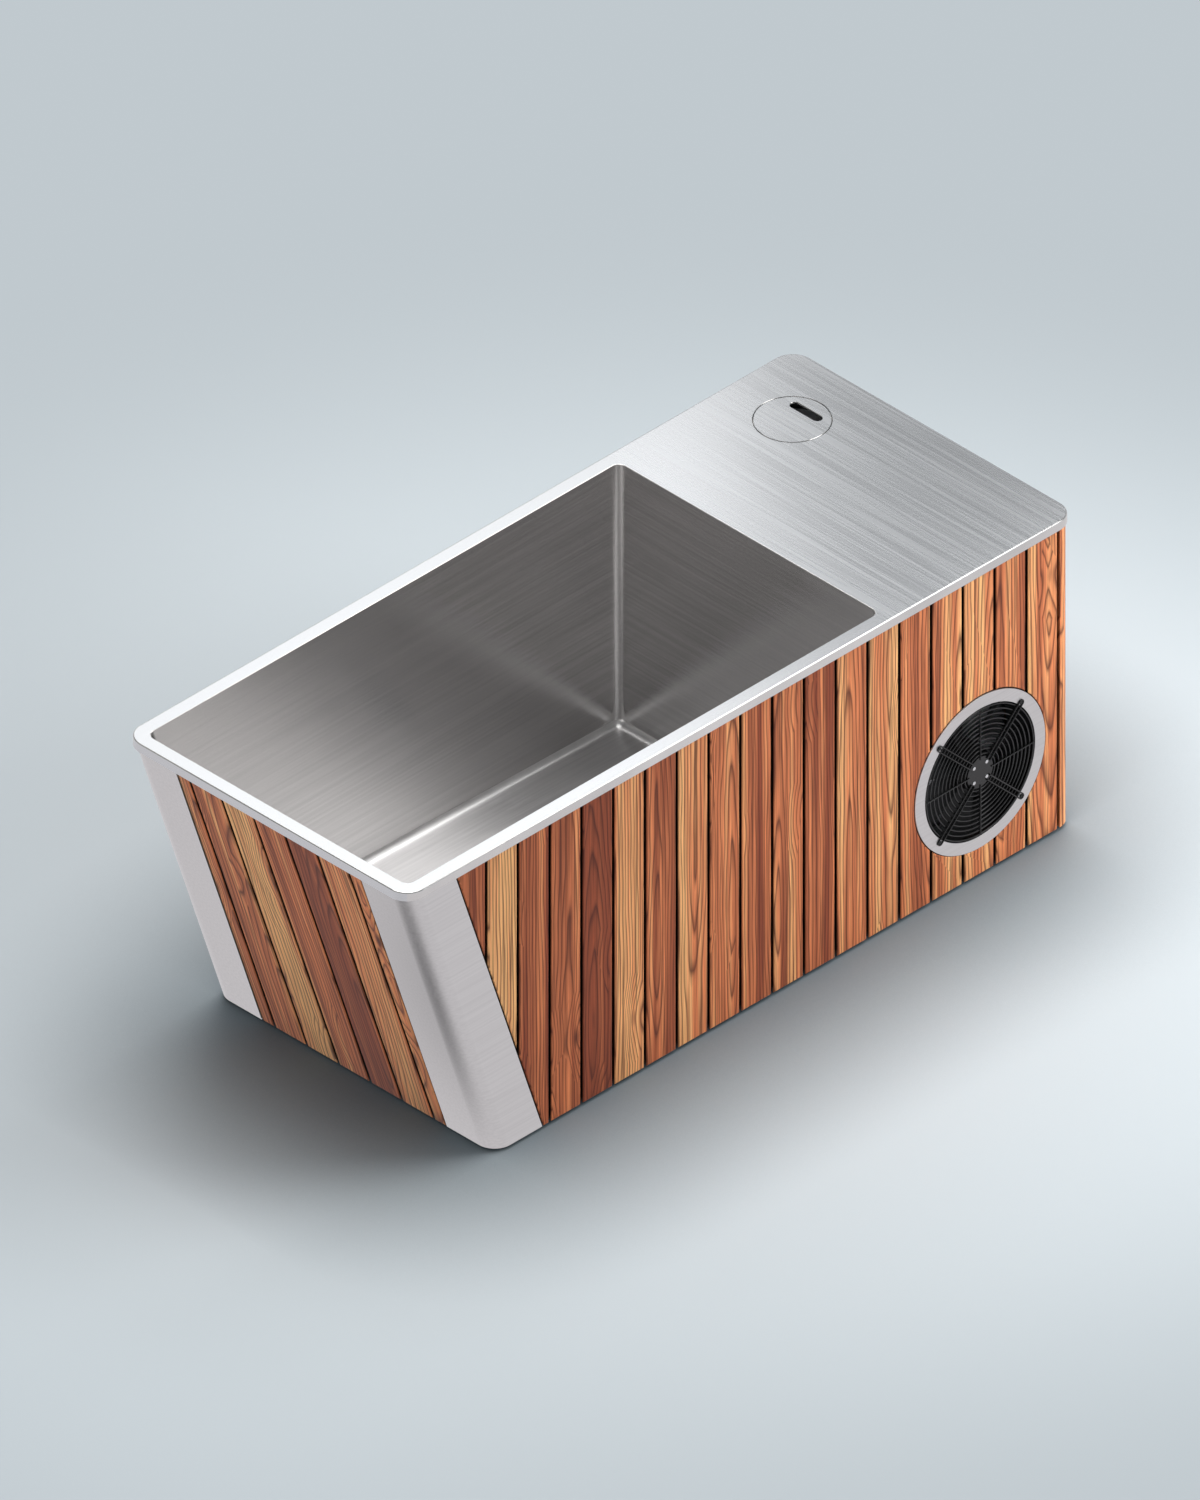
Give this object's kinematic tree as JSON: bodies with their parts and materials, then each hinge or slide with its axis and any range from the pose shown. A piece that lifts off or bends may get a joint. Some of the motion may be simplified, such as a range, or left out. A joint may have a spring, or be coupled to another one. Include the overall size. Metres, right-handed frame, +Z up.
{
  "type": "cold plunge tub",
  "caption": "Rectangular cold plunge tub: brushed-steel basin and deck, upright cedar cladding, raked front end and a chiller bay with a guarded fan.",
  "frame": {"origin": "on the floor, under the middle of the rim's rectangle", "axes": "+X towards the chiller end, +Y towards the side without the fan, +Z up"},
  "size_m": [1.8, 0.764, 0.725],
  "materials": {
    "brushed_steel": "brushed",
    "cedar": "oiled",
    "plain_timber": "sawn",
    "backing": "matt black",
    "foam": "rigid foam",
    "frame": "powder coat",
    "rubber": "matt",
    "fasteners": "bright",
    "black_wire": "black",
    "black_metal": "black",
    "black_plastic": "moulded",
    "rocker": "moulded",
    "pale_plastic": "moulded",
    "fitting": "satin",
    "paper": "pleated",
    "fins": "mill",
    "copper": "drawn",
    "brass": "machined"
  },
  "bodies": {
    "tub": {"top_deck": "brushed_steel", "basin": "brushed_steel", "corner_cover_right": "brushed_steel", "corner_cover_left": "brushed_steel", "fan_trim_ring": "brushed_steel", "rear_vent": "brushed_steel", "service_recess": "brushed_steel", "equipment_tray": "brushed_steel", "control_plate": "brushed_steel", "heat_exchanger": "brushed_steel", "side_boards_right": "cedar", "side_boards_left": "cedar", "front_boards": "cedar", "rear_boards": "cedar", "rear_corner_posts": "cedar", "corner_backers": "plain_timber", "rear_panel": "plain_timber", "cladding_rails": "plain_timber", "basin_bearers": "plain_timber", "cladding_backing": "backing", "wall_foam": "foam", "bulkhead_foam": "foam", "floor_foam": "foam", "base_frame": "frame", "bay_frame": "frame", "foot_pads": "rubber", "lid_gasket": "rubber", "compressor_mounts": "rubber", "guard_fasteners": "fasteners", "rear_panel_screws": "fasteners", "fan_guard": "black_wire", "fan_motor": "black_metal", "compressor": "black_metal", "pump_motor": "black_metal", "fan_shroud": "black_plastic", "lid_collar": "black_plastic", "pump_casing": "black_plastic", "pipe_manifold": "black_plastic", "power_inlet": "black_plastic", "power_switch": "black_plastic", "filter_housing": "pale_plastic", "floor_fitting_nuts": "pale_plastic", "suction_pipe": "pale_plastic", "filter_riser": "pale_plastic", "pump_feed_pipe": "pale_plastic", "chiller_feed_pipe": "pale_plastic", "return_pipe": "pale_plastic", "drain_pipe": "pale_plastic", "control_box": "pale_plastic", "suction_strainer": "fitting", "return_nozzle": "fitting", "filter_cartridge": "paper", "condenser_coil": "fins", "refrigerant_lines": "copper", "drain_valve_body": "brass"},
    "lid": {"access_lid": "brushed_steel"},
    "fan": {"fan_impeller": "black_plastic"},
    "pump": {"pump_rotor": "black_plastic"},
    "valve": {"drain_valve_handle": "black_plastic"},
    "rocker": {"switch_rocker": "rocker"}
  },
  "joints": [
    {"name": "lid_lift", "type": "slide", "parent": "tub", "child": "lid", "axis": [0, 0, 1], "range_m": [0, 0.12]},
    {"name": "fan_spin", "type": "hinge", "parent": "tub", "child": "fan", "pos_m": [0.644, -0.34, 0.245], "axis": [0, 1, 0], "continuous": true},
    {"name": "pump_spin", "type": "hinge", "parent": "tub", "child": "pump", "pos_m": [0.56, 0.075, 0.105], "axis": [1, 0, 0], "continuous": true},
    {"name": "drain_valve", "type": "hinge", "parent": "tub", "child": "valve", "pos_m": [0.846, 0.216, 0.15], "axis": [0, 0, 1], "range_deg": [0, 90]},
    {"name": "power_rocker", "type": "hinge", "parent": "tub", "child": "rocker", "pos_m": [0.822, 0.164, 0.195], "axis": [0, 1, 0], "range_deg": [0, 16]}
  ]
}
